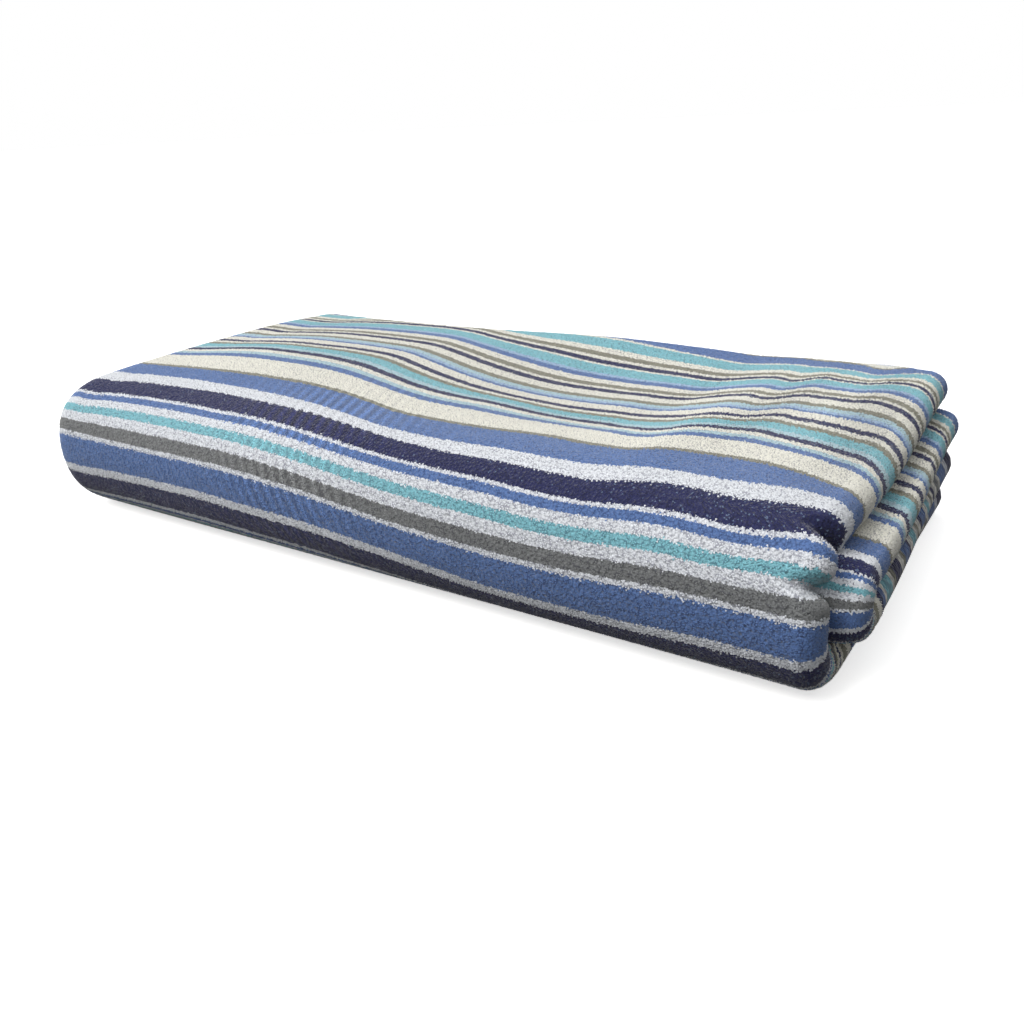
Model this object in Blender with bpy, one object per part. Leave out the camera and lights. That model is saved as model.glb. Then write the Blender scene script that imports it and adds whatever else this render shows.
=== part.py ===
"""A striped terry bath towel, folded into a bundle and lying on a surface.

The towel is one cloth. It is cut flat, then folded the way it is folded by hand: once across its
width, then both ends in to the middle of its length, then closed there like a book, and once more so
that the last fold faces forward. The stripes run along X, the forward fold faces -Y, the book's round
spine is at -X, and the folds of the two ends show as fat rolls at +X. Last, the bundle settles: its
top gets its swells and hollows and its right end its notches, while its underside stays flat at Z = 0.
"""

from math import atan2, cos, exp, hypot, pi, radians, sin

import bmesh
import bpy

# The cloth, laid flat, in metres.
LENGTH = 1.40
WIDTH = 0.70
CLOTH = 0.0033

# Each layer lies this far above the next one, which leaves a little air between them.
PITCH = 0.0038

# Fold 1 doubles the cloth across its width. Fold 2 turns both ends in to the middle of its length, and
# fold 3 closes it there, round the spine. Fold 4 closes the bundle.
CREASE_RADIUS = 0.5 * PITCH
ROLL_PITCH = 2 * PITCH
END_ROLL = 0.5 * ROLL_PITCH
SPINE = 1.5 * ROLL_PITCH
RIBBON = 7 * PITCH + CLOTH
FRONT_RADIUS = 4 * PITCH

# How far the loose edges stay back from the folds beside them.
FIRST_HEM_INSET = 0.001
LAST_HEM_INSET = 0.003
SELVEDGE_INSET = 0.004

# What fold 1 leaves on each side of its crease, and how long the quarters of the length are.
HALF = (WIDTH - pi * CREASE_RADIUS) / 2
SPAN = (LENGTH - pi * (SPINE + 2 * END_ROLL) + FIRST_HEM_INSET + LAST_HEM_INSET) / 4

# The bundle's outside before it settles.
DOUBLED = PITCH + CLOTH
BUNDLE_HEIGHT = 2 * FRONT_RADIUS + RIBBON
BUNDLE_LENGTH = SPAN + SPINE + END_ROLL + DOUBLED
RIGHT = BUNDLE_LENGTH / 2 - END_ROLL - DOUBLED / 2
LEFT = RIGHT - SPAN
NOSE = FRONT_RADIUS + RIBBON / 2
BUNDLE_DEPTH = (HALF + SELVEDGE_INSET + DOUBLED / 2 + 2 * NOSE - pi * FRONT_RADIUS) / 2
FRONT = NOSE - BUNDLE_DEPTH / 2
BACK = BUNDLE_DEPTH / 2 - DOUBLED / 2
SELVEDGE = BUNDLE_DEPTH / 2 - SELVEDGE_INSET

# Where the cloth gets its points: along X between the rolls, as parts of the span from left to right,
# and from front to back on the flat of the bundle. The right end is rumpled, so it has more of them.
SPAN_STEPS = (0, 0.12, 0.24, 0.36, 0.48, 0.60, 0.72, 0.79, 0.845, 0.89, 0.94, 1)
DEPTH_STEPS = (0, 0.16, 0.36, 0.60, 0.82, 1)
END_ROLL_STEPS = 6
SPINE_STEPS = 8
CREASE_STEPS = 4

# The forward fold has its points at these heights round its half circle, in degrees from straight ahead.
# The notches are two of them.
UPPER_NOTCH = 62
LOWER_NOTCH = 25
FRONT_ANGLES = (-90, -62, -35, -8, 10, LOWER_NOTCH, 38, 50, UPPER_NOTCH, 75, 90)

# Soft swells and hollows of the top, which fade towards the underside: the middle of each, its reach along
# and across, its turn in degrees, and how far it lifts the top.
SWELLS = (
    # name, x, y, along, across, turn, lift
    ("left crown", -0.105, -0.005, 0.060, 0.048, 0, 0.0055),
    ("left end", -0.170, 0.050, 0.030, 0.040, 0, 0.0022),
    ("front shoulder", -0.110, -0.078, 0.060, 0.022, 0, -0.0030),
    ("middle hollow", 0.045, 0.034, 0.055, 0.056, 0, -0.0082),
    ("front of the hollow", 0.068, -0.016, 0.025, 0.020, 0, -0.0030),
    ("back edge", 0.034, 0.100, 0.056, 0.028, 0, 0.0054),
    ("foot of the step", 0.086, 0.030, 0.013, 0.050, -8, -0.0026),
    ("first ridge", 0.1165, 0.000, 0.0120, 0.060, -6, 0.0032),
    ("second ridge", 0.1515, 0.030, 0.010, 0.050, 0, 0.0020),
    ("rolled-over end", 0.175, 0.000, 0.014, 0.060, 0, -0.0070),
)

# The forward fold and the spine are a little squarer than half circles.
SQUARING = 0.05

# The right end. The inner rolls bulge out between the outer ones, most of all at the front, the top
# roll ends short of the others towards the back, and two notches pinch the forward fold.
END_REACH = 0.060
BULGE_AT_FRONT = 0.008
BULGE_AT_BACK = 0.002
TOP_SHORT_AT_FRONT = 0.001
TOP_SHORT_AT_BACK = 0.004
ROLL_STEP = 0.006
NOTCH_DEPTH = 0.006
NOTCH_REACH = radians(8)

TOWEL_BLUE = (0.19, 0.34, 0.62, 1)


def smooth(value):
    """0 below 0, 1 above 1, and a soft step between them."""
    value = min(max(value, 0), 1)
    return value * value * (3 - 2 * value)


def squared(turn):
    """How much further out a squarer half circle lies, at a turn round it."""
    return 1 + SQUARING * sin(2 * turn) ** 2


def stations(pieces):
    """Running distances for a row of stretches, each a length and the parts of it where a point goes."""
    found = [0.0]
    start = 0.0
    for length, parts in pieces:
        found += [start + length * part for part in parts if part > 0]
        start += length
    return found


def even(count):
    return [step / count for step in range(count + 1)]


def length_stations():
    """Where the points lie along the cloth, from its first hem, inside the spine, to its last."""
    rightward = [part * SPAN for part in SPAN_STEPS]
    first = [(x - FIRST_HEM_INSET) / (SPAN - FIRST_HEM_INSET) for x in rightward if x > FIRST_HEM_INSET]
    leftward = [1 - part for part in reversed(SPAN_STEPS)]
    last = [(SPAN - x) / (SPAN - LAST_HEM_INSET) for x in reversed(rightward) if x > LAST_HEM_INSET]
    return stations(
        [
            (SPAN - FIRST_HEM_INSET, first),
            (pi * END_ROLL, even(END_ROLL_STEPS)),
            (SPAN, leftward),
            (pi * SPINE, even(SPINE_STEPS)),
            (SPAN, SPAN_STEPS),
            (pi * END_ROLL, even(END_ROLL_STEPS)),
            (SPAN - LAST_HEM_INSET, [part for part in last if part < 1] + [1]),
        ]
    )


def width_stations():
    """Where the points lie across the cloth: the same on both sides of fold 1, so that the layers match."""
    under = SELVEDGE - FRONT
    over = BACK - FRONT
    under_parts = [1 - part for part in reversed(DEPTH_STEPS)]
    front_parts = [(angle + 90) / 180 for angle in FRONT_ANGLES]
    half = stations([(under, under_parts), (pi * FRONT_RADIUS, front_parts), (over, DEPTH_STEPS)])
    crease = [HALF + pi * CREASE_RADIUS * part for part in even(CREASE_STEPS)[1:-1]]
    return half + crease + [WIDTH - across for across in reversed(half)]


def fold_once(across, rise):
    """Fold 1: a place across the cloth, and above its middle, in the doubled cloth."""
    if across <= HALF:
        return across, CREASE_RADIUS + rise
    turn = (across - HALF) / CREASE_RADIUS
    if turn < pi:
        radius = CREASE_RADIUS + rise
        return HALF + radius * sin(turn), radius * cos(turn)
    return WIDTH - across, -CREASE_RADIUS - rise


def fold_length(along, rise):
    """Folds 2 and 3: a place along the doubled cloth becomes its X and its height in the ribbon."""
    start = LEFT + FIRST_HEM_INSET
    first_roll = RIGHT - start
    top = first_roll + pi * END_ROLL
    spine = top + SPAN
    under = spine + pi * SPINE
    last_roll = under + SPAN
    last = last_roll + pi * END_ROLL
    roll = END_ROLL + rise
    outside = SPINE + rise
    if along < first_roll:
        return start + along, ROLL_PITCH - roll
    if along < top:
        turn = (along - first_roll) / END_ROLL
        return RIGHT + roll * sin(turn), ROLL_PITCH - roll * cos(turn)
    if along < spine:
        return RIGHT - (along - top), outside
    if along < under:
        turn = (along - spine) / SPINE
        return LEFT - outside * sin(turn) * squared(turn), outside * cos(turn) * squared(turn)
    if along < last_roll:
        return LEFT + (along - under), -outside
    if along < last:
        turn = (along - last_roll) / END_ROLL
        return RIGHT + roll * sin(turn), -ROLL_PITCH - roll * cos(turn)
    return RIGHT - (along - last), roll - ROLL_PITCH


def front_turn(reach):
    """The angle round the forward fold of a place in the ribbon, in radians from straight ahead."""
    return min(max((reach - (SELVEDGE - FRONT)) / FRONT_RADIUS, 0), pi) - pi / 2


def settle_end(x, height, reach):
    """Shapes the right end of the ribbon, before fold 4."""
    share = smooth((x - RIGHT + END_REACH) / (END_REACH + END_ROLL))
    outer = smooth(0.5 + height / ROLL_STEP)
    turn = front_turn(reach)
    over = SELVEDGE - FRONT + pi * FRONT_RADIUS
    backward = smooth((reach - over) / (BACK - FRONT))
    away = max(backward, smooth((SELVEDGE - FRONT - reach) / (BACK - FRONT)))
    push = (BULGE_AT_FRONT + (BULGE_AT_BACK - BULGE_AT_FRONT) * away) * (1 - outer)
    short = TOP_SHORT_AT_FRONT + (TOP_SHORT_AT_BACK - TOP_SHORT_AT_FRONT) * backward
    push -= short * smooth(turn / (pi / 2)) * outer
    for notch in (UPPER_NOTCH, LOWER_NOTCH):
        push -= NOTCH_DEPTH * exp(-(((turn - radians(notch)) / NOTCH_REACH) ** 2)) * outer
    return x + share * push


def fold_over(reach, height):
    """Fold 4: a place across the ribbon, and above its middle, becomes Y and Z."""
    under = SELVEDGE - FRONT
    if reach < under:
        return SELVEDGE - reach, RIBBON / 2 - height
    over = under + pi * FRONT_RADIUS
    if reach < over:
        turn = (reach - under) / FRONT_RADIUS
        radius = (FRONT_RADIUS + height) * squared(turn)
        return FRONT - radius * sin(turn), NOSE - radius * cos(turn)
    return FRONT + (reach - over), NOSE + FRONT_RADIUS + height


def lift(x, y):
    """How far the settled top stands above the plain bundle."""
    total = 0
    for _name, middle_x, middle_y, along, across, turn, rise in SWELLS:
        away = hypot(x - middle_x, y - middle_y)
        heading = atan2(y - middle_y, x - middle_x) - radians(turn)
        total += rise * exp(-((away * cos(heading) / along) ** 2) - (away * sin(heading) / across) ** 2)
    return total


def folded(along, across, rise):
    """Where a place of the flat cloth lies in the bundle."""
    reach, rise = fold_once(across, rise)
    x, height = fold_length(along, rise)
    x = settle_end(x, height, reach)
    y, z = fold_over(reach, height)
    return x, y, z * (1 + lift(x, y) / BUNDLE_HEIGHT)


def clear_scene():
    for item in list(bpy.data.objects):
        bpy.data.objects.remove(item, do_unlink=True)


def cloth_material():
    material = bpy.data.materials.new("terry cloth")
    material.use_nodes = True
    shader = material.node_tree.nodes["Principled BSDF"]
    shader.inputs["Base Color"].default_value = TOWEL_BLUE
    shader.inputs["Roughness"].default_value = 0.95
    shader.inputs["Metallic"].default_value = 0.0
    return material


def flat_cloth():
    """The cloth cut flat: a slab whose points lie at the stations."""
    along = length_stations()
    across = width_stations()
    mesh = bmesh.new()
    bmesh.ops.create_grid(mesh, x_segments=len(along) - 1, y_segments=len(across) - 1, size=0.5)
    for vert in mesh.verts:
        column = round((vert.co.x + 0.5) * (len(along) - 1))
        row = round((vert.co.y + 0.5) * (len(across) - 1))
        vert.co = (along[column], across[row], CLOTH / 2)
    bmesh.ops.solidify(mesh, geom=mesh.faces[:], thickness=CLOTH)
    return mesh


def make_towel(collection):
    mesh = flat_cloth()
    for vert in mesh.verts:
        vert.co = folded(*vert.co)
    low = [min(vert.co[axis] for vert in mesh.verts) for axis in range(3)]
    high = [max(vert.co[axis] for vert in mesh.verts) for axis in range(3)]
    middle = (-(low[0] + high[0]) / 2, -(low[1] + high[1]) / 2, -low[2])
    bmesh.ops.translate(mesh, vec=middle, verts=mesh.verts[:])
    bmesh.ops.triangulate(mesh, faces=mesh.faces[:], quad_method="SHORT_EDGE")
    bmesh.ops.recalc_face_normals(mesh, faces=mesh.faces[:])
    data = bpy.data.meshes.new("towel")
    mesh.to_mesh(data)
    mesh.free()
    data.shade_smooth()
    data.materials.append(cloth_material())
    towel = bpy.data.objects.new("towel", data)
    collection.objects.link(towel)


def main():
    clear_scene()
    collection = bpy.data.collections.new("bath towel")
    bpy.context.scene.collection.children.link(collection)
    make_towel(collection)


main()
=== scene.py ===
"""The looks of a striped terry bath towel that is folded into a bundle.

The cloth is a grid laid flat, given its thickness and folded by the same steps as the solid that it
replaces. Its pile is made of many small loops that stand on the folded cloth, each in the colour of the
stripe that its root stands in, with painted shade at its root and painted light at its tip.
"""

from math import cos, pi, radians, sin

import bpy
import numpy as np
from mathutils import Matrix, Vector


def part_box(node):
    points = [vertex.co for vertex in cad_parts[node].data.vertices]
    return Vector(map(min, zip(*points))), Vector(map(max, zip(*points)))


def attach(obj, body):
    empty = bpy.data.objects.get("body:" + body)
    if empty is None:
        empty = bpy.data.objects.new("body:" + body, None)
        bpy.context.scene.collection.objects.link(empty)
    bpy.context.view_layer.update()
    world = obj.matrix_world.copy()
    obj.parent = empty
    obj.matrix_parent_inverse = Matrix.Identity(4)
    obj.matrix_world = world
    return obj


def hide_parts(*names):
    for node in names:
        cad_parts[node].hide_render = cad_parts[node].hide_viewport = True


bl_info = {
    "name": "Folded striped bath towel",
    "version": (1, 0, 0),
    "blender": (4, 5, 0),
    "location": "3D View > Sidebar > Towel",
    "description": "Makes a folded terry towel with a looped pile, and a plain stage for it",
    "category": "Object",
}

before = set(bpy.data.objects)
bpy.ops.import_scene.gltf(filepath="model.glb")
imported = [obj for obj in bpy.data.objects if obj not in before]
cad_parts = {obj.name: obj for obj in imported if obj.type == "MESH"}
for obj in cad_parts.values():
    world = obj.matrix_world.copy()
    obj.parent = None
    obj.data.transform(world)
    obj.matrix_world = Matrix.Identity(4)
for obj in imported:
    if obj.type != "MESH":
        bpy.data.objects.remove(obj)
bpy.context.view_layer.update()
MM = 0.001

# The cloth, laid flat, in metres, and how far its layers lie apart in the bundle.
LENGTH = 1.40
WIDTH = 0.70
CLOTH = 0.0033
PITCH = 0.0038

# Fold 1 doubles the cloth across its width. Fold 2 turns both ends in to the middle of its length, and
# fold 3 closes it there, round the spine. Fold 4 closes the bundle.
CREASE_RADIUS = 0.5 * PITCH
ROLL_PITCH = 2 * PITCH
END_ROLL = 0.5 * ROLL_PITCH
SPINE = 1.5 * ROLL_PITCH
RIBBON = 7 * PITCH + CLOTH
FRONT_RADIUS = 4 * PITCH
FIRST_HEM_INSET = 0.001
LAST_HEM_INSET = 0.003
SELVEDGE_INSET = 0.004
HALF = (WIDTH - pi * CREASE_RADIUS) / 2
SPAN = (LENGTH - pi * (SPINE + 2 * END_ROLL) + FIRST_HEM_INSET + LAST_HEM_INSET) / 4

# The bundle before it settles.
DOUBLED = PITCH + CLOTH
BUNDLE_HEIGHT = 2 * FRONT_RADIUS + RIBBON
BUNDLE_LENGTH = SPAN + SPINE + END_ROLL + DOUBLED
RIGHT = BUNDLE_LENGTH / 2 - END_ROLL - DOUBLED / 2
LEFT = RIGHT - SPAN
NOSE = FRONT_RADIUS + RIBBON / 2
BUNDLE_DEPTH = (HALF + SELVEDGE_INSET + DOUBLED / 2 + 2 * NOSE - pi * FRONT_RADIUS) / 2
FRONT = NOSE - BUNDLE_DEPTH / 2
BACK = BUNDLE_DEPTH / 2 - DOUBLED / 2
SELVEDGE = BUNDLE_DEPTH / 2 - SELVEDGE_INSET

# Where the parts of the cloth start, along it from its first hem, inside the spine, to its last.
FIRST_ROLL = RIGHT - LEFT - FIRST_HEM_INSET
TOP_START = FIRST_ROLL + pi * END_ROLL
SPINE_START = TOP_START + SPAN
LOWER_START = SPINE_START + pi * SPINE
LAST_ROLL = LOWER_START + SPAN
LAST_START = LAST_ROLL + pi * END_ROLL

# And across it, from the selvedge under the bundle to the crease of fold 1 at the top's back edge.
FRONT_START = SELVEDGE - FRONT
FRONT_END = FRONT_START + pi * FRONT_RADIUS
CREASE_END = HALF + pi * CREASE_RADIUS

# Soft swells and hollows of the top.
SWELLS = (
    # name, x, y, along, across, turn, lift
    ("left crown", -0.105, -0.005, 0.060, 0.048, 0, 0.0055),
    ("left end", -0.170, 0.050, 0.030, 0.040, 0, 0.0022),
    ("front shoulder", -0.110, -0.078, 0.060, 0.022, 0, -0.0030),
    ("middle hollow", 0.045, 0.034, 0.055, 0.056, 0, -0.0082),
    ("front of the hollow", 0.068, -0.016, 0.025, 0.020, 0, -0.0030),
    ("back edge", 0.034, 0.100, 0.056, 0.028, 0, 0.0054),
    ("foot of the step", 0.086, 0.030, 0.013, 0.050, -8, -0.0026),
    ("first ridge", 0.1165, 0.000, 0.0120, 0.060, -6, 0.0032),
    ("second ridge", 0.1515, 0.030, 0.010, 0.050, 0, 0.0020),
    ("rolled-over end", 0.175, 0.000, 0.014, 0.060, 0, -0.0070),
)

# The forward fold and the spine are a little squarer than half circles.
SQUARING = 0.05

# The right end: inner rolls that bulge out between the outer ones, a top roll that ends short of the
# others, and two notches that pinch the forward fold.
UPPER_NOTCH = 62
LOWER_NOTCH = 25
END_REACH = 0.060
BULGE_AT_FRONT = 0.008
BULGE_AT_BACK = 0.002
TOP_SHORT_AT_FRONT = 0.001
TOP_SHORT_AT_BACK = 0.004
ROLL_STEP = 0.006
NOTCH_DEPTH = 0.0065
NOTCH_REACH = radians(7)

# The yarns, as display colours from 0 to 1.
YARNS = {
    "cream": (0.925, 0.920, 0.880),
    # White is a pale yarn with a painted cool tint, which stands for the cooler light on the front fold
    # where its stripes show.
    "white": (0.890, 0.905, 0.930),
    "navy": (0.150, 0.168, 0.348),
    "blue": (0.365, 0.485, 0.700),
    "sky": (0.640, 0.750, 0.870),
    "turquoise": (0.520, 0.760, 0.810),
    "mist": (0.710, 0.820, 0.860),
    "grey": (0.490, 0.500, 0.505),
    "olive": (0.560, 0.555, 0.495),
}

# The woven stripes, in order across the cloth from the selvedge under the bundle, and their widths in
# millimetres on the pile's outer side.
STRIPES = (
    # yarn, width
    ("white", 3.1),
    ("navy", 8),
    ("white", 5),
    ("blue", 12),
    ("cream", 3),
    ("grey", 5),
    ("cream", 5),
    ("navy", 3),
    ("cream", 3),
    ("olive", 3),
    ("cream", 3),
    ("turquoise", 5),
    ("cream", 4),
    ("blue", 8),
    ("navy", 3),
    ("cream", 4),
    ("olive", 3),
    ("cream", 3),
    ("turquoise", 6),
    ("cream", 5),
    ("navy", 2),
    ("blue", 8),
    ("olive", 3),
    ("cream", 4),
    ("navy", 9),
    ("olive", 3),
    ("cream", 3),
    ("turquoise", 8),
    ("cream", 2),
    ("blue", 3),
    ("navy", 2.5),
    ("cream", 4),
    ("olive", 4),
    ("cream", 3),
    ("navy", 2),
    ("cream", 3),
    ("olive", 2.5),
    ("navy", 2),
    ("cream", 2),
    ("turquoise", 2),
    ("white", 1.5),
    ("blue", 2),
    ("white", 2.5),
    ("navy", 10.2),
    ("white", 3.9),
    ("blue", 11.3),
    ("white", 2.0),
    ("grey", 5.7),
    ("white", 4.6),
    ("turquoise", 3.8),
    ("white", 3.9),
    ("blue", 3.3),
    ("white", 1.3),
    ("navy", 7.1),
    ("white", 6.5),
    ("blue", 15.9),
    ("olive", 2.8),
    ("cream", 17.7),
    ("blue", 5.0),
    ("mist", 4.0),
    ("cream", 4.0),
    ("navy", 4.0),
    ("mist", 3.0),
    ("turquoise", 5.5),
    ("olive", 3.0),
    ("cream", 3.0),
    ("navy", 4.0),
    ("cream", 7.5),
    ("blue", 2.5),
    ("sky", 3.0),
    ("mist", 4.0),
    ("olive", 4.5),
    ("cream", 7.5),
    ("navy", 4.5),
    ("cream", 2.5),
    ("olive", 4.0),
    ("cream", 5.0),
    ("blue", 4.0),
    ("sky", 2.5),
    ("turquoise", 7.5),
    ("cream", 1.5),
    ("navy", 3.5),
    ("cream", 2.5),
    ("olive", 3.5),
    ("cream", 4.2),
    ("turquoise", 8.0),
    ("cream", 1.5),
    ("blue", 9.5),
    ("olive", 2),
    ("cream", 5),
)

# The lie of the stripes, which the pile's nap and the folding have pulled askew. Each row is a place along
# the bundle, and says how far from the top of the front fold eleven of the stripes' edges lie there, in
# millimetres to the back. The row HOME_ROW is the one that the widths above were taken at.
CHART = (
    # x, low blue, grey, thin white, navy, white, olive, navy 1, navy 2, navy 3, navy 4, back blue
    (-160, -51.7, -36.0, -16.4, -5.3, 4.6, 18.4, 47.1, 66.8, 94.0, 127.0, 149.0),
    (-150, -51.0, -36.0, -14.6, -2.9, 6.3, 18.4, 48.6, 65.5, 93.0, 129.5, 151.5),
    (-140, -50.4, -36.0, -13.6, -1.7, 6.8, 18.5, 49.8, 66.5, 97.6, 137.0, 159.0),
    (-120, -49.7, -36.0, -12.4, -0.8, 7.6, 18.9, 51.7, 68.6, 105.4, 144.2, 166.0),
    (-100, -49.5, -36.0, -12.4, -0.4, 7.3, 19.7, 52.2, 70.0, 106.8, 146.0, 168.0),
    (-80, -49.5, -36.3, -13.5, -0.8, 7.0, 21.0, 54.0, 74.3, 107.4, 146.4, 168.5),
    (-60, -50.6, -37.1, -14.4, -2.6, 5.9, 21.9, 53.8, 76.0, 107.2, 142.8, 165.0),
    (-40, -51.3, -38.3, -16.2, -4.4, 3.6, 20.4, 49.5, 70.2, 101.2, 135.4, 157.5),
    (-20, -52.1, -39.7, -18.2, -7.3, -0.6, 15.6, 44.4, 64.4, 95.1, 131.0, 153.0),
    (0, -53.6, -41.6, -20.3, -11.0, -5.5, 10.2, 42.0, 60.9, 92.5, 128.8, 151.5),
    (20, -55.4, -43.6, -21.8, -13.5, -7.7, 8.8, 43.5, 60.4, 93.1, 127.1, 150.0),
    (40, -57.5, -44.8, -22.7, -14.7, -8.3, 8.9, 43.0, 61.2, 94.8, 125.7, 147.3),
    (60, -59.7, -45.8, -23.2, -14.8, -7.7, 11.0, 47.2, 63.0, 92.3, 122.9, 144.2),
    (70, -60.2, -46.1, -23.7, -15.0, -7.9, 11.0, 48.0, 63.9, 92.0, 121.3, 142.6),
    (80, -60.3, -46.3, -24.3, -15.5, -8.3, 9.2, 41.6, 63.0, 94.0, 120.4, 141.4),
    (90, -60.3, -46.3, -24.5, -15.9, -8.7, 8.3, 33.8, 57.4, 93.2, 120.4, 140.2),
    (100, -60.2, -46.1, -24.5, -16.0, -8.3, 6.8, 30.6, 51.8, 88.6, 119.0, 140.2),
    (112, -59.9, -45.4, -23.4, -13.4, -5.5, 11.6, 35.6, 50.4, 80.5, 115.4, 139.6),
    (120, -59.4, -44.8, -22.6, -11.8, -4.1, 14.0, 39.6, 54.0, 78.5, 109.6, 137.4),
    (130, -58.7, -44.4, -22.5, -11.4, -3.8, 15.6, 43.8, 64.8, 92.6, 121.4, 138.2),
    (140, -58.0, -44.3, -23.2, -12.0, -3.8, 15.2, 40.6, 61.6, 91.0, 118.2, 136.5),
    (150, -57.7, -44.2, -23.4, -12.2, -2.2, 13.6, 38.2, 59.4, 87.6, 114.2, 131.0),
    (160, -57.5, -44.1, -22.0, -10.0, 0.0, 13.0, 41.3, 64.4, 97.8, 126.0, 141.0),
    (167, -57.5, -44.1, -20.8, -8.6, 0.8, 12.3, 45.0, 71.0, 99.2, 128.4, 146.0),
    (175, -57.5, -44.1, -20.0, -8.0, 1.0, 12.0, 31.7, 62.0, 93.0, 121.0, 140.0),
)
HOME_ROW = 11


def smooth(value):
    """0 below 0, 1 above 1, and a soft step between them."""
    value = np.clip(value, 0, 1)
    return value * value * (3 - 2 * value)


def bell(value):
    return np.exp(-(value**2))


def squared(turn):
    """How much further out a squarer half circle lies, at a turn round it."""
    return 1 + SQUARING * np.sin(2 * np.clip(turn, 0, pi)) ** 2


def fold_once(across, rise):
    """Fold 1: places across the cloth, and above its middle, in the doubled cloth."""
    turn = (across - HALF) / CREASE_RADIUS
    radius = CREASE_RADIUS + rise
    parts = [across <= HALF, across < CREASE_END]
    reach = np.select(parts, [across, HALF + radius * np.sin(turn)], WIDTH - across)
    height = np.select(parts, [radius, radius * np.cos(turn)], -radius)
    return reach, height


def fold_length(along, rise):
    """Folds 2 and 3: places along the doubled cloth become X and the height in the ribbon."""
    first_turn = (along - FIRST_ROLL) / END_ROLL
    spine_turn = (along - SPINE_START) / SPINE
    last_turn = (along - LAST_ROLL) / END_ROLL
    roll = END_ROLL + rise
    outside = SPINE + rise
    spine = outside * squared(spine_turn)
    ends = (FIRST_ROLL, TOP_START, SPINE_START, LOWER_START, LAST_ROLL, LAST_START)
    parts = [along < end for end in ends]
    places = [
        LEFT + FIRST_HEM_INSET + along,
        RIGHT + roll * np.sin(first_turn),
        RIGHT - (along - TOP_START),
        LEFT - spine * np.sin(spine_turn),
        LEFT + (along - LOWER_START),
        RIGHT + roll * np.sin(last_turn),
    ]
    heights = [
        ROLL_PITCH - roll,
        ROLL_PITCH - roll * np.cos(first_turn),
        outside,
        spine * np.cos(spine_turn),
        -outside,
        -ROLL_PITCH - roll * np.cos(last_turn),
    ]
    x = np.select(parts, places, RIGHT - (along - LAST_START))
    return x, np.select(parts, heights, roll - ROLL_PITCH)


def bundle_x(along):
    """X of the middle of the doubled cloth, before the folds are brought to the solid's place."""
    return fold_length(along, 0 * along)[0]


def settle_end(x, height, reach):
    """Shapes the right end of the ribbon, before fold 4."""
    share = smooth((x - RIGHT + END_REACH) / (END_REACH + END_ROLL))
    outer = smooth(0.5 + height / ROLL_STEP)
    turn = np.clip((reach - FRONT_START) / FRONT_RADIUS, 0, pi) - pi / 2
    backward = smooth((reach - FRONT_END) / (BACK - FRONT))
    away = np.maximum(backward, smooth((FRONT_START - reach) / (BACK - FRONT)))
    push = (BULGE_AT_FRONT + (BULGE_AT_BACK - BULGE_AT_FRONT) * away) * (1 - outer)
    short = TOP_SHORT_AT_FRONT + (TOP_SHORT_AT_BACK - TOP_SHORT_AT_FRONT) * backward
    push = push - short * smooth(turn / (pi / 2)) * outer
    for notch in (UPPER_NOTCH, LOWER_NOTCH):
        push = push - NOTCH_DEPTH * bell((turn - radians(notch)) / NOTCH_REACH) * outer
    return x + share * push


def fold_over(reach, height):
    """Fold 4: places across the ribbon, and above its middle, become Y and Z."""
    turn = (reach - FRONT_START) / FRONT_RADIUS
    radius = (FRONT_RADIUS + height) * squared(turn)
    parts = [reach < FRONT_START, reach < FRONT_END]
    y = np.select(parts, [SELVEDGE - reach, FRONT - radius * np.sin(turn)], FRONT + (reach - FRONT_END))
    z = np.select(parts, [RIBBON / 2 - height, NOSE - radius * np.cos(turn)], NOSE + FRONT_RADIUS + height)
    return y, z


def lift(x, y):
    """How far the settled top stands above the plain bundle."""
    total = np.zeros_like(x)
    for _name, middle_x, middle_y, along, across, turn, rise in SWELLS:
        east = (x - middle_x) * cos(radians(turn)) + (y - middle_y) * sin(radians(turn))
        north = (y - middle_y) * cos(radians(turn)) - (x - middle_x) * sin(radians(turn))
        total += rise * bell(east / along) * bell(north / across)
    return total


# The move that brings the folds to the solid's place, from its left side and its back.
SOLID_LOW, SOLID_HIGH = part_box("towel")
MIDDLE = np.array(
    [
        SOLID_LOW[0] - (LEFT - SPINE - DOUBLED / 2),
        SOLID_HIGH[1] - (FRONT + HALF - FRONT_END + DOUBLED / 2),
        0.0,
    ]
)


def folded(along, across, rise):
    """Where places of the flat cloth lie, in the frame of the solids."""
    places = [np.asarray(value, float) for value in (along, across, rise)]
    along, across, rise = np.broadcast_arrays(*places)
    reach, rise = fold_once(across, rise)
    x, height = fold_length(along, rise)
    x = settle_end(x, height, reach)
    y, z = fold_over(reach, height)
    return np.stack([x, y, z * (1 + lift(x, y) / BUNDLE_HEIGHT)], axis=-1) + MIDDLE


def outer_arc(across):
    """The way across the cloth as it runs along the pile's outer side, from the top of the front fold."""
    parts = [across < FRONT_START, across < FRONT_END]
    return np.select(
        parts,
        [across - FRONT_START - pi * NOSE, (across - FRONT_END) * NOSE / FRONT_RADIUS],
        across - FRONT_END,
    )


def across_at(arc):
    """The place across the cloth at a distance along its outer side: outer_arc the other way round."""
    back = HALF - FRONT_END
    stretch = (CREASE_RADIUS + CLOTH / 2) / CREASE_RADIUS
    return np.select(
        [arc < -pi * NOSE, arc < 0, arc < back],
        [arc + pi * NOSE + FRONT_START, FRONT_END + arc * FRONT_RADIUS / NOSE, FRONT_END + arc],
        HALF + (arc - back) / stretch,
    )


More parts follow.
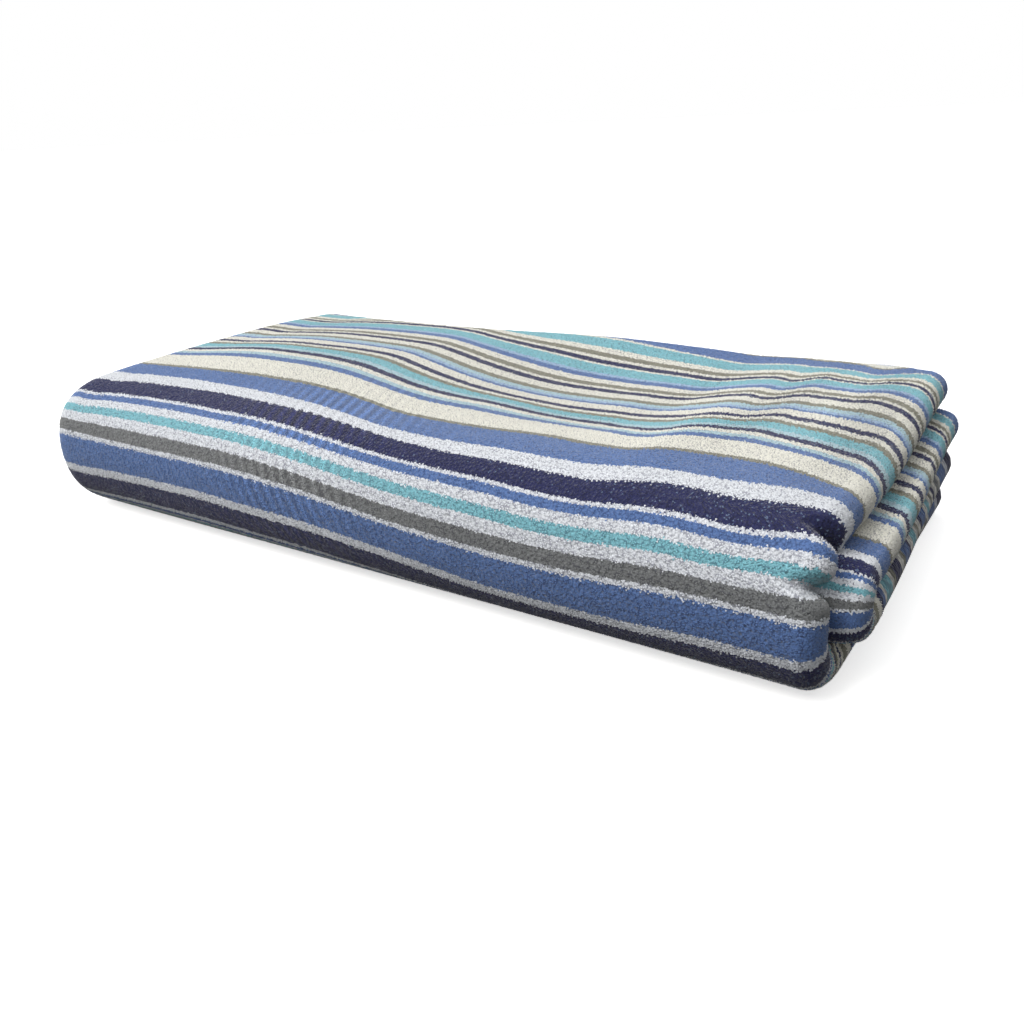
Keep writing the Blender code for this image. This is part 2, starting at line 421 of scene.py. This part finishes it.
def drawn_through(rows, column, x):
    """A smooth curve through a column of the chart, at places along the bundle."""
    places, values = rows[:, 0], rows[:, column]
    slopes = np.gradient(values, places)
    x = np.clip(x, places[0], places[-1])
    start = np.clip(np.searchsorted(places, x, side="right") - 1, 0, len(places) - 2)
    length = places[start + 1] - places[start]
    part = (x - places[start]) / length
    rise = smooth(part)
    plain = values[start] * (1 - rise) + values[start + 1] * rise
    first = slopes[start] * part * (1 - part) ** 2
    second = slopes[start + 1] * part**2 * (1 - part)
    return plain + length * (first - second)


def stripe_place(along, across):
    """How far a place of the cloth lies from the first stripe, in metres."""
    arc = outer_arc(across)
    x = bundle_x(along) + MIDDLE[0]
    rows = np.array(CHART) * MM
    home = rows[HOME_ROW, 1:]
    lines = np.stack([drawn_through(rows, 1 + index, x) for index in range(len(home))], axis=-1)
    above = (arc[:, None] > lines).sum(axis=-1)
    upper = np.clip(above, 1, len(home) - 1)
    pick = np.arange(len(arc))
    low, high = lines[pick, upper - 1], lines[pick, upper]
    place = home[upper - 1] + (home[upper] - home[upper - 1]) * (arc - low) / (high - low)
    place = np.where(above == 0, home[0] + arc - lines[:, 0], place)
    place = np.where(above == len(home), home[-1] + arc - lines[:, -1], place)
    return place - outer_arc(np.zeros(1))[0]


def linear(display):
    """A display colour as a shader takes it."""
    value = np.asarray(display, float)
    return np.where(value <= 0.04045, value / 12.92, ((value + 0.055) / 1.055) ** 2.4)


def yarn_colours():
    """The stripes' ends, in metres, and their colours, as shader values."""
    ends = np.cumsum([width for _yarn, width in STRIPES]) * MM
    colours = np.array([linear(YARNS[yarn]) for yarn, _width in STRIPES])
    return ends, colours


class Value:
    """A shader value that can be used in sums."""

    def __init__(self, shader, socket):
        self.shader = shader
        self.socket = socket

    def sum(self, operation, first, second):
        return self.shader.node("ShaderNodeMath", {"operation": operation}, {0: first, 1: second})

    def __add__(self, other):
        return self.sum("ADD", self, other)

    def __radd__(self, other):
        return self.sum("ADD", other, self)

    def __sub__(self, other):
        return self.sum("SUBTRACT", self, other)

    def __rsub__(self, other):
        return self.sum("SUBTRACT", other, self)

    def __mul__(self, other):
        return self.sum("MULTIPLY", self, other)

    def __rmul__(self, other):
        return self.sum("MULTIPLY", other, self)

    def __truediv__(self, other):
        return self.sum("DIVIDE", self, other)

    def __gt__(self, other):
        return self.sum("GREATER_THAN", self, other)


class Shader:
    """A material and the nodes that are added to it."""

    def __init__(self, name):
        self.material = bpy.data.materials.new(name)
        self.material.use_nodes = True
        self.nodes = self.material.node_tree.nodes
        self.links = self.material.node_tree.links
        self.surface = self.nodes["Principled BSDF"]

    def node(self, kind, settings=None, inputs=None, output=0):
        """Adds a node with its settings first, then the values or links of its sockets."""
        added = self.nodes.new(kind)
        for name, setting in (settings or {}).items():
            if name == "stops":
                self.set_stops(added.color_ramp, setting)
            else:
                setattr(added, name, setting)
        for name, value in (inputs or {}).items():
            self.feed(added.inputs[name], value)
        return Value(self, added.outputs[output])

    def feed(self, socket, value):
        if isinstance(value, Value):
            self.links.new(value.socket, socket)
        else:
            socket.default_value = value

    def set_stops(self, ramp, stops):
        """Gives a ramp its stops, each a position and a colour, with a hard edge between them."""
        ramp.interpolation = "CONSTANT"
        while len(ramp.elements) > 1:
            ramp.elements.remove(ramp.elements[-1])
        for index, (position, colour) in enumerate(stops):
            stop = ramp.elements[0] if index == 0 else ramp.elements.new(position)
            stop.position = position
            stop.color = (*colour, 1)

    def mix(self, share, first, second):
        return self.node(
            "ShaderNodeMix",
            {"data_type": "RGBA", "clamp_factor": True},
            {0: share, 6: first, 7: second},
            output=2,
        )

    def finish(self, **inputs):
        """Feeds the surface: names are its sockets' names, with _ for a space."""
        for name, value in inputs.items():
            self.feed(self.surface.inputs[name.replace("_", " ")], value)
        return self.material


# A ramp holds at most 32 stops, so the stripes are shared out over several.
STOPS_IN_A_RAMP = 28


def stripe_colour(shader, place):
    """The yarn's colour at a distance from the first stripe."""
    ends, colours = yarn_colours()
    starts = np.concatenate([[0], ends[:-1]])
    total = None
    for first in range(0, len(ends), STOPS_IN_A_RAMP):
        rows = slice(first, first + STOPS_IN_A_RAMP)
        start, length = starts[first], ends[rows][-1] - starts[first]
        stops = list(zip((starts[rows] - start) / length, colours[rows]))
        ramp = shader.node("ShaderNodeValToRGB", {"stops": stops}, {0: (place - start) / length})
        total = ramp if total is None else shader.mix(place > start, total, ramp)
    return total


# The ground's small pattern: its scales, how ragged the stripes' edges are, how deep its hollows and the
# painted shade in them.
GROUND_RAGGED = 0.0016
GROUND_NOISE = 900
GROUND_LOOPS = 760
GROUND_RIBS = 120
GROUND_RIB_SHARE = 0.05
GROUND_DEPTH = 0.0007
HOLLOW_PAINTED_SHADE = (0.42, 0.42, 0.46, 1)

# The fibres of the loops.
FIBRE_SCALE = 2600
FIBRE_DEPTH = 0.0002


def cloth_material():
    """The woven ground between the loops, and the pile of the layers that lie inside."""
    shader = Shader("terry ground")
    weave = shader.node("ShaderNodeUVMap", {"uv_map": "weave"})
    across = shader.node("ShaderNodeSeparateXYZ", None, {0: weave}, output="Y")
    noise = shader.node("ShaderNodeTexNoise", None, {"Vector": weave, "Scale": GROUND_NOISE, "Detail": 2})
    place = across + (noise - 0.5) * GROUND_RAGGED
    whole = sum(width for _yarn, width in STRIPES) * MM
    wrapped = shader.node("ShaderNodeMath", {"operation": "MODULO"}, {0: place + whole, 1: whole})
    colour = stripe_colour(shader, wrapped)
    loops = shader.node(
        "ShaderNodeTexVoronoi",
        {"feature": "F1"},
        {"Vector": weave, "Scale": GROUND_LOOPS, "Randomness": 0.9},
    )
    hollows = shader.node(
        "ShaderNodeMapRange",
        {"clamp": True},
        {"Value": loops, "From Min": 0.15, "From Max": 0.75, "To Min": 1.0, "To Max": 0.0},
    )
    # Painted shade: the stripe colour is darkened in the hollows between the loops.
    dark = shader.node(
        "ShaderNodeMix",
        {"data_type": "RGBA", "blend_type": "MULTIPLY"},
        {0: 1.0, 6: colour, 7: shader.mix(hollows, HOLLOW_PAINTED_SHADE, (1.0, 1.0, 1.0, 1))},
        output=2,
    )
    wave = shader.node(
        "ShaderNodeTexWave", {"bands_direction": "X"}, {"Vector": weave, "Scale": GROUND_RIBS}
    )
    height = hollows + wave * GROUND_RIB_SHARE
    bump = shader.node(
        "ShaderNodeBump", None, {"Strength": 0.9, "Distance": GROUND_DEPTH, "Height": height}
    )
    return shader.finish(
        Base_Color=dark, Roughness=0.95, Normal=bump, Sheen_Weight=0.25, Sheen_Roughness=0.5
    )


def pile_material():
    """The cotton loops: each carries its own yarn colour, with painted shade at its root."""
    shader = Shader("terry loops")
    yarn = shader.node("ShaderNodeAttribute", {"attribute_name": "yarn"})
    place = shader.node("ShaderNodeTexCoord", output=3)
    fibres = shader.node("ShaderNodeTexNoise", None, {"Vector": place, "Scale": FIBRE_SCALE, "Detail": 3})
    strands = shader.node(
        "ShaderNodeMapRange",
        None,
        {"Value": fibres, "From Min": 0.3, "From Max": 0.7, "To Min": 0.86, "To Max": 1.08},
    )
    tone = shader.node("ShaderNodeCombineColor", None, {0: strands, 1: strands, 2: strands})
    colour = shader.node(
        "ShaderNodeMix",
        {"data_type": "RGBA", "blend_type": "MULTIPLY", "clamp_result": True},
        {0: 1.0, 6: yarn, 7: tone},
        output=2,
    )
    bump = shader.node(
        "ShaderNodeBump", None, {"Strength": 0.35, "Distance": FIBRE_DEPTH, "Height": fibres}
    )
    return shader.finish(
        Base_Color=colour, Roughness=0.95, Normal=bump, Sheen_Weight=0.3, Sheen_Roughness=0.5
    )


def deselect():
    bpy.ops.object.select_all(action="DESELECT")


def declare(piece):
    """Says which body the piece rides on."""
    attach(piece, "root")


def even(start, end, step):
    """Places from start up to but not including end, about a step apart."""
    return list(np.linspace(start, end, max(2, round((end - start) / step)), endpoint=False))


# How far apart the cloth's points lie: where it is hidden, under the bundle, and at the rumpled right end.
HIDDEN_STEP = 0.014
UNDER_STEP = 0.011
RUMPLED_STEP = 0.006
ROLL_TURN_STEP = 0.0015
SPINE_TURN_STEP = 0.0022

# How many steps go round the front fold outside and inside, and round the crease of fold 1.
FRONT_STEPS = 56
INNER_FRONT_STEPS = 20
CREASE_STEPS = 8

# The points next to an edge, where the cloth thins to EDGE_SHARE, and where the even steps start.
EDGE_STEPS = (0, 0.0006, 0.0015, 0.0030)
EDGE_END = 0.006
EDGE_SHARE = 0.55


def rumpled(start, end):
    """Places that lie closer together over the last stretch before end, where the right end is."""
    return even(start, end - END_REACH, HIDDEN_STEP) + even(end - END_REACH, end, RUMPLED_STEP)


def length_stations(fine):
    """The places of the cloth's points along it."""
    first = list(EDGE_STEPS) + rumpled(EDGE_END, FIRST_ROLL)
    rolled = even(FIRST_ROLL, TOP_START, ROLL_TURN_STEP)
    top = even(TOP_START, SPINE_START, fine)
    spine = even(SPINE_START, LOWER_START, SPINE_TURN_STEP)
    lower = rumpled(LOWER_START, LAST_ROLL)
    inner = even(LAST_ROLL, LAST_START, ROLL_TURN_STEP)
    last = sorted(LENGTH - place for place in rumpled(EDGE_END, SPAN - LAST_HEM_INSET))
    hem = [LENGTH - step for step in reversed(EDGE_STEPS)]
    return first + rolled + top + spine + lower + inner + [LAST_START] + last + hem


def width_stations(fine):
    """The places of the cloth's points across it."""
    under = list(EDGE_STEPS) + even(EDGE_END, FRONT_START, UNDER_STEP)
    front = even(FRONT_START, FRONT_END, pi * FRONT_RADIUS / FRONT_STEPS)
    over = even(FRONT_END, HALF, fine)
    crease = even(HALF, CREASE_END, pi * CREASE_RADIUS / CREASE_STEPS)
    half = list(EDGE_STEPS) + even(EDGE_END, FRONT_START, HIDDEN_STEP)
    half += even(FRONT_START, FRONT_END, pi * FRONT_RADIUS / INNER_FRONT_STEPS)
    half += even(FRONT_END, HALF, HIDDEN_STEP)
    return under + front + over + crease + [CREASE_END] + sorted(WIDTH - place for place in half)


def edge_share(place, length):
    """The share of its thickness that the cloth keeps near its edges."""
    away = np.minimum(place, length - place)
    return EDGE_SHARE + (1 - EDGE_SHARE) * smooth(away / EDGE_STEPS[-1])


class TowelSettings(bpy.types.PropertyGroup):
    """The sizes that a user would change."""

    ground: bpy.props.FloatProperty(
        name="Ground",
        description="Thickness of the cloth under its outer loops",
        default=0.0029,
        unit="LENGTH",
    )
    step: bpy.props.FloatProperty(
        name="Step",
        description="Distance between the cloth's points on the top",
        default=0.0040,
        unit="LENGTH",
    )
    loop_step: bpy.props.FloatProperty(
        name="Loop step", description="Distance between the pile's loops", default=0.00073, unit="LENGTH"
    )
    loop_radius: bpy.props.FloatProperty(
        name="Loop radius", description="Half the width of a loop", default=0.00066, unit="LENGTH"
    )
    loop_height: bpy.props.FloatProperty(
        name="Loop height",
        description="How far a loop stands above its ground",
        default=0.00045,
        unit="LENGTH",
    )


class StageSettings(bpy.types.PropertyGroup):
    """The stage's light and lens."""

    sky: bpy.props.FloatProperty(
        name="Sky", description="Strength of the light all round", default=1.0, min=0
    )
    key: bpy.props.FloatProperty(
        name="Key", description="Power of the light in front", default=21, min=0, unit="POWER"
    )
    glow: bpy.props.FloatProperty(
        name="Glow", description="The floor's own light", default=0.60, min=0
    )
    table: bpy.props.FloatProperty(
        name="Table", description="How pale the table is", default=0.12, min=0, max=1
    )
    lens: bpy.props.FloatProperty(
        name="Lens", description="Focal length for a sensor 36 mm wide", default=33.12, unit="CAMERA"
    )


class TOWEL_OT_cloth(bpy.types.Operator):
    """Makes the folded cloth"""

    bl_idname = "towel.cloth"
    bl_label = "Cloth"

    def execute(self, context):
        settings = context.scene.towel
        along = np.array(length_stations(settings.step))
        across = np.array(width_stations(settings.step))
        deselect()
        bpy.ops.mesh.primitive_grid_add(
            x_subdivisions=len(along) - 1, y_subdivisions=len(across) - 1, size=1
        )
        cloth = context.object
        cloth.name = cloth.data.name = "towel_cloth"
        places = read_points(cloth.data)
        columns = np.rint((places[:, 0] + 0.5) * (len(along) - 1)).astype(int)
        rows = np.rint((places[:, 1] + 0.5) * (len(across) - 1)).astype(int)
        write_points(cloth.data, np.stack([along[columns], across[rows], 0 * places[:, 0]], axis=-1))
        solid = cloth.modifiers.new("thickness", "SOLIDIFY")
        solid.thickness = settings.ground
        solid.offset = 0
        bpy.ops.object.modifier_apply(modifier=solid.name)
        flat = read_points(cloth.data)
        rise = flat[:, 2] * edge_share(flat[:, 0], LENGTH) * edge_share(flat[:, 1], WIDTH)
        set_weave(cloth.data, flat[:, 0], flat[:, 1])
        write_points(cloth.data, folded(flat[:, 0], flat[:, 1], rise))
        bpy.ops.object.shade_smooth()
        cloth.data.materials.append(cloth_material())
        declare(cloth)
        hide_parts("towel")
        return {"FINISHED"}


def read_points(mesh):
    points = np.empty(len(mesh.vertices) * 3, np.float32)
    mesh.vertices.foreach_get("co", points)
    return points.reshape(-1, 3).astype(float)


def write_points(mesh, points):
    mesh.vertices.foreach_set("co", points.astype(np.float32).ravel())
    mesh.update()


def set_weave(mesh, along, across):
    """Gives the mesh the UV map that the stripes follow, in metres of cloth."""
    layer = mesh.uv_layers[0] if mesh.uv_layers else mesh.uv_layers.new(name="weave")
    layer.name = "weave"
    corners = np.empty(len(mesh.loops), np.int32)
    mesh.loops.foreach_get("vertex_index", corners)
    pairs = np.stack([along[corners], stripe_place(along, across)[corners]], axis=-1)
    layer.data.foreach_set("uv", pairs.astype(np.float32).ravel())


# How much longer the cloth's outer side is than its middle, round its tighter turns.
END_STRETCH = (END_ROLL + DOUBLED / 2) / END_ROLL
SPINE_STRETCH = (SPINE + DOUBLED / 2) / SPINE
TOP_MIDDLE = TOP_START + SPAN / 2

# How far the rolls' fields reach past the rolls, and how far the loops stay from the hems.
FIRST_LEAD = 0.010
LAST_LEAD = 0.012
LAST_TAIL = 0.004
HEM_MARGIN = 0.002

# The pile's fields, each one piece: from and to along the cloth, how much its outer side is stretched
# there, and from and to across it, in millimetres from the top of the front fold.
FIELDS = (
    # name, along from, along to, stretch, across from, across to
    ("pile_of_the_top_right", TOP_START, TOP_MIDDLE, 1, 0, 162),
    ("pile_of_the_top_left", TOP_MIDDLE, SPINE_START, 1, 0, 162),
    ("pile_of_the_front_right", TOP_START, TOP_MIDDLE, 1, -104, 0),
    ("pile_of_the_front_left", TOP_MIDDLE, SPINE_START, 1, -104, 0),
    ("pile_of_the_first_roll", FIRST_ROLL - FIRST_LEAD, TOP_START, END_STRETCH, -150, 162),
    ("pile_of_the_last_roll", LAST_ROLL - LAST_LEAD, LAST_START + LAST_TAIL, END_STRETCH, -104, 162),
    ("pile_of_the_spine", SPINE_START, LOWER_START, SPINE_STRETCH, -150, 162),
    ("pile_of_the_first_crease", HEM_MARGIN, FIRST_ROLL - FIRST_LEAD, 1, 148, 162),
    ("pile_of_the_lower_crease", LOWER_START, LAST_ROLL - LAST_LEAD, 1, 148, 162),
    ("pile_of_the_last_crease", LAST_START + LAST_TAIL, LENGTH - HEM_MARGIN, 1, 148, 162),
)

# A loop is a bud: a ring at its root, sunk into the ground, and a tip above it that leans a little.
LOOP_SIDES = 3
LOOP_ROOT = -0.35
# Painted shade and light: a loop's colour is darker at its root, where shade falls between the loops, and
# lighter at its tip.
LOOP_ROOT_PAINTED_SHADE = 0.92
LOOP_TIP_PAINTED_LIGHT = 1.04
LOOP_SINK = 0.0001
LOOP_LEAN = 0.00022
LOOP_UNEVENNESS = 0.38

# The stripes' edges are ragged, and dark yarns have a few paler loops. Both are more so where the cloth
# is worn, from WORN_START towards the right end.
WORN_START = 0.09
WORN_REACH = 0.05
RAGGED = 0.00020
RAGGED_WHERE_WORN = 0.00016
STRAYS = 0.015
STRAYS_WHERE_WORN = 0.06
STRAY_SHARE = 0.28
DARK_YARN = 0.12
TONE_SPREAD = 0.040

# The ribs that lie pressed into the front fold, across the stripes: a shallow relief, and painted light
# and shade on the loops, lighter on their crests and darker between them. The painted shade shows most in
# the dark yarns. The ribs stand upright between the two places of RIB_UPRIGHT, and lean above and below
# them.
RIB_MIDDLE = -0.029
RIB_REACH = 0.040
RIB_STEP = 0.0055
RIB_ARC = -0.018
RIB_ARC_REACH = 0.055
RIB_LEAN = 0.42
RIB_UPRIGHT = (-0.030, -0.016)
RIB_DEPTH = 0.00006
# The ribs' painted light and shade: how strong it is, and how pale a yarn must be for it to fade out.
RIB_PAINTED_SHADE = 0.80
RIB_FADES_AT = 1.1
RIB_PULL = 0.0004


def field_places(field, step, draw):
    """Where the roots of a field's loops stand, on a grid that is a little uneven."""
    _name, along_from, along_to, stretch, across_from, across_to = field
    columns = np.arange(along_from, along_to, step / stretch)
    rows = np.arange(across_from * MM, across_to * MM, step)
    grid_along, grid_across = np.meshgrid(columns, rows, indexing="ij")
    grid_along = grid_along + step / stretch * 0.5 * (np.arange(len(rows)) % 2)
    shape = grid_along.shape
    grid_along = grid_along + draw.uniform(-LOOP_UNEVENNESS, LOOP_UNEVENNESS, shape) * step / stretch
    grid_across = grid_across + draw.uniform(-LOOP_UNEVENNESS, LOOP_UNEVENNESS, shape) * step
    return grid_along.ravel(), across_at(grid_across).ravel()


def unit(vectors):
    return vectors / np.maximum(np.linalg.norm(vectors, axis=-1, keepdims=True), 1e-12)


def cloth_axes(along, across, rise):
    """The cloth's place and its three directions at some places: along it, across it and out of it."""
    small = 0.0004
    middle = folded(along, across, rise)
    run = folded(along + small, across, rise) - folded(along - small, across, rise)
    side = folded(along, across + small, rise) - folded(along, across - small, rise)
    out = unit(np.cross(run, side))
    proud = folded(along, across, rise + small) - middle
    out = out * np.sign((out * proud).sum(axis=-1, keepdims=True))
    run = unit(run)
    return middle, run, unit(np.cross(out, run)), out


def ribs(along, across):
    """The pressed ribs: 1 on their crests and -1 between them, fading out round about."""
    x = bundle_x(along) + MIDDLE[0]
    arc = outer_arc(across)
    fade = bell((x - RIB_MIDDLE) / RIB_REACH) * bell((arc - RIB_ARC) / RIB_ARC_REACH)
    lean = RIB_LEAN * (arc - np.clip(arc, *RIB_UPRIGHT))
    return fade * np.sin(2 * pi * (x + lean) / RIB_STEP)


def loop_colours(along, across, pressed, draw):
    """A colour for each loop: its stripe's yarn, with a ragged edge and a few stray ones, and the ribs'
    painted light and shade.
    """
    ends, colours = yarn_colours()
    worn = smooth((bundle_x(along) - WORN_START) / WORN_REACH)
    ragged = draw.normal(0, 1, len(along)) * (RAGGED + RAGGED_WHERE_WORN * worn)
    place = stripe_place(along, across) + RIB_PULL * pressed + ragged
    place = np.mod(place, ends[-1])
    index = np.searchsorted(ends, place)
    picked = colours[np.minimum(index, len(colours) - 1)]
    tone = np.clip(draw.normal(1.0, TONE_SPREAD, len(along)), 0.8, 1.2)[:, None]
    stray = (draw.random(len(along)) < STRAYS + STRAYS_WHERE_WORN * worn)[:, None]
    pale = linear(YARNS["sky"])
    dark = picked.mean(axis=1, keepdims=True) < DARK_YARN
    picked = np.where(stray & dark, picked * (1 - STRAY_SHARE) + pale * STRAY_SHARE, picked)
    # Painted light and shade of the ribs: lighter on their crests, darker between them, most in dark
    # yarns.
    painted_rib_strength = RIB_PAINTED_SHADE * (RIB_FADES_AT - picked.mean(axis=1, keepdims=True)) ** 2
    painted_rib_shading = 1 + painted_rib_strength * pressed[:, None]
    return picked * tone * painted_rib_shading


def build_loops(name, along, across, settings, draw):
    """One mesh that holds a loop at each place."""
    count = len(along)
    pressed = ribs(along, across)
    rise = settings.ground / 2 - LOOP_SINK + RIB_DEPTH * pressed
    root, run, side, out = cloth_axes(along, across, rise)
    radius = settings.loop_radius * draw.uniform(0.85, 1.18, count)
    height = settings.loop_height * draw.uniform(0.80, 1.20, count)
    lean = draw.normal(0, LOOP_LEAN, (count, 2))
    spin = draw.uniform(0, 2 * pi, count)
    points = []
    for corner in range(LOOP_SIDES):
        turn = spin + 2 * pi * corner / LOOP_SIDES
        east = (radius * np.cos(turn))[:, None]
        north = (radius * np.sin(turn))[:, None]
        points.append(root + run * east + side * north + out * (height * LOOP_ROOT)[:, None])
    points.append(root + run * lean[:, :1] + side * lean[:, 1:] + out * height[:, None])
    points = np.stack(points, axis=1)
    points[..., 2] = np.maximum(points[..., 2], 0)
    # Painted shade at each loop's root and painted light at its tip, in the colours of its corners.
    painted_shades = np.array([LOOP_ROOT_PAINTED_SHADE] * LOOP_SIDES + [LOOP_TIP_PAINTED_LIGHT])
    colours = loop_colours(along, across, pressed, draw)
    return loop_mesh(name, points, np.clip(colours[:, None, :] * painted_shades[None, :, None], 0, 1))


def loop_faces():
    """The faces of one loop, by its corners."""
    return np.array([(corner, (corner + 1) % LOOP_SIDES, LOOP_SIDES) for corner in range(LOOP_SIDES)])


def loop_mesh(name, points, colours):
    count, corners, _axes = points.shape
    faces = (loop_faces()[None] + np.arange(count)[:, None, None] * corners).reshape(-1, 3)
    mesh = bpy.data.meshes.new(name)
    mesh.vertices.add(count * corners)
    mesh.vertices.foreach_set("co", points.astype(np.float32).ravel())
    mesh.loops.add(faces.size)
    mesh.loops.foreach_set("vertex_index", faces.astype(np.int32).ravel())
    mesh.polygons.add(len(faces))
    mesh.polygons.foreach_set("loop_start", np.arange(0, faces.size, 3, dtype=np.int32))
    mesh.update(calc_edges=True)
    layer = mesh.color_attributes.new("yarn", "FLOAT_COLOR", "POINT")
    whole = np.concatenate([colours.reshape(-1, 3), np.ones((count * corners, 1))], axis=1)
    layer.data.foreach_set("color", whole.astype(np.float32).ravel())
    mesh.shade_smooth()
    piece = bpy.data.objects.new(name, mesh)
    bpy.context.scene.collection.objects.link(piece)
    return piece


class TOWEL_OT_pile(bpy.types.Operator):
    """Covers the cloth's outer side with loops"""

    bl_idname = "towel.pile"
    bl_label = "Pile"

    def execute(self, context):
        settings = context.scene.towel
        material = pile_material()
        draw = np.random.default_rng(7)
        for field in FIELDS:
            along, across = field_places(field, settings.loop_step, draw)
            piece = build_loops(field[0], along, across, settings, draw)
            piece.data.materials.append(material)
            declare(piece)
        return {"FINISHED"}


def area_light(name, place, target, size, power, colour):
    lamp = bpy.data.lights.new(name, "AREA")
    lamp.shape = "SQUARE"
    lamp.size = size
    lamp.energy = power
    lamp.color = colour
    item = bpy.data.objects.new(name, lamp)
    item.location = place
    item.rotation_euler = (Vector(target) - Vector(place)).to_track_quat("-Z", "Y").to_euler()
    bpy.context.scene.collection.objects.link(item)


# The floor that shows, and the table just under it that throws light back at the towel.
STAGE_SIZE = 60
FLOOR_HEIGHT = -0.0002
FLOOR_COLOUR = (0.97, 0.97, 0.97, 1)
TABLE_HEIGHT = -0.0040

# The sky that lights the towel is darker towards the right end. SKY_TURNS is where that change starts
# and ends, as the X of the way the light goes.
SKY_TURNS = (-0.75, -0.05)
DARKEST_SKY = 0.35

# The light in front.
KEY_PLACE = (-0.35, -1.20, 1.45)
KEY_TARGET = (0, 0, 0.03)
KEY_SIZE = 0.9
KEY_COLOUR = (1.0, 0.98, 0.94)


def studio_sky(strength):
    """A sky that is darker on one side, and white where the camera looks straight at it."""
    world = bpy.data.worlds.new("studio")
    world.use_nodes = True
    nodes, links = world.node_tree.nodes, world.node_tree.links
    geometry = nodes.new("ShaderNodeNewGeometry")
    parts = nodes.new("ShaderNodeSeparateXYZ")
    shade = nodes.new("ShaderNodeMapRange")
    shade.inputs["From Min"].default_value = SKY_TURNS[0]
    shade.inputs["From Max"].default_value = SKY_TURNS[1]
    shade.inputs["To Min"].default_value = DARKEST_SKY
    seen = nodes.new("ShaderNodeLightPath")
    paler = nodes.new("ShaderNodeMath")
    paler.operation = "MAXIMUM"
    links.new(geometry.outputs["Incoming"], parts.inputs[0])
    links.new(parts.outputs["X"], shade.inputs["Value"])
    links.new(shade.outputs["Result"], paler.inputs[0])
    links.new(seen.outputs["Is Camera Ray"], paler.inputs[1])
    links.new(paler.outputs["Value"], nodes["Background"].inputs["Color"])
    nodes["Background"].inputs["Strength"].default_value = strength
    return world


# The camera's place, and where it looks: round from straight ahead, down, and its tilt, in degrees.
CAMERA_PLACE = (0.23270, -0.31867, 0.16168)
CAMERA_ROUND = 34.482
CAMERA_DOWN = 22.508
CAMERA_TILT = -2.797


class TOWEL_OT_stage(bpy.types.Operator):
    """Makes the floor, the lights and the camera"""

    bl_idname = "towel.stage"
    bl_label = "Stage"

    def execute(self, context):
        settings = context.scene.towel_stage
        deselect()
        floor = self.floor("floor", FLOOR_HEIGHT, FLOOR_COLOUR, settings.glow)
        floor.visible_diffuse = False
        floor.visible_glossy = False
        self.floor("table", TABLE_HEIGHT, (*linear((settings.table,) * 3), 1), 0)
        context.scene.world = studio_sky(settings.sky)
        area_light("key light", KEY_PLACE, KEY_TARGET, KEY_SIZE, settings.key, KEY_COLOUR)
        camera = bpy.data.cameras.new("camera")
        camera.sensor_width = 36
        camera.lens = settings.lens
        camera.clip_start = 0.01
        item = bpy.data.objects.new("camera", camera)
        turned = Matrix.Rotation(radians(CAMERA_ROUND), 4, "Z")
        turned = turned @ Matrix.Rotation(pi / 2 - radians(CAMERA_DOWN), 4, "X")
        turned = turned @ Matrix.Rotation(radians(CAMERA_TILT), 4, "Z")
        item.matrix_world = Matrix.Translation(CAMERA_PLACE) @ turned
        context.scene.collection.objects.link(item)
        context.scene.camera = item
        context.scene.view_settings.view_transform = "Standard"
        return {"FINISHED"}

    def floor(self, name, height, colour, glow):
        """A wide level plane, as part of the stage."""
        deselect()
        bpy.ops.mesh.primitive_plane_add(size=STAGE_SIZE, location=(0, 0, height))
        plane = bpy.context.object
        plane.name = name
        shader = Shader("pale " + name)
        plane.data.materials.append(
            shader.finish(
                Base_Color=colour,
                Roughness=0.9,
                Specular_IOR_Level=0.1,
                Emission_Color=(1, 1, 1, 1),
                Emission_Strength=glow,
            )
        )
        return plane


class TOWEL_PT_panel(bpy.types.Panel):
    """The towel's operators and sizes"""

    bl_label = "Towel"
    bl_idname = "TOWEL_PT_panel"
    bl_space_type = "VIEW_3D"
    bl_region_type = "UI"
    bl_category = "Towel"

    def draw(self, context):
        for settings in (context.scene.towel, context.scene.towel_stage):
            for name in settings.__annotations__:
                self.layout.prop(settings, name)
        for operator in OPERATORS:
            self.layout.operator(operator.bl_idname)


OPERATORS = (TOWEL_OT_stage, TOWEL_OT_cloth, TOWEL_OT_pile)
CLASSES = (TowelSettings, StageSettings, *OPERATORS, TOWEL_PT_panel)


def register():
    for item in CLASSES:
        bpy.utils.register_class(item)
    bpy.types.Scene.towel = bpy.props.PointerProperty(type=TowelSettings)
    bpy.types.Scene.towel_stage = bpy.props.PointerProperty(type=StageSettings)


def unregister():
    del bpy.types.Scene.towel
    del bpy.types.Scene.towel_stage
    for item in reversed(CLASSES):
        bpy.utils.unregister_class(item)


def main():
    register()
    bpy.ops.towel.stage()
    bpy.ops.towel.cloth()
    bpy.ops.towel.pile()


if __name__ == "__main__":
    main()
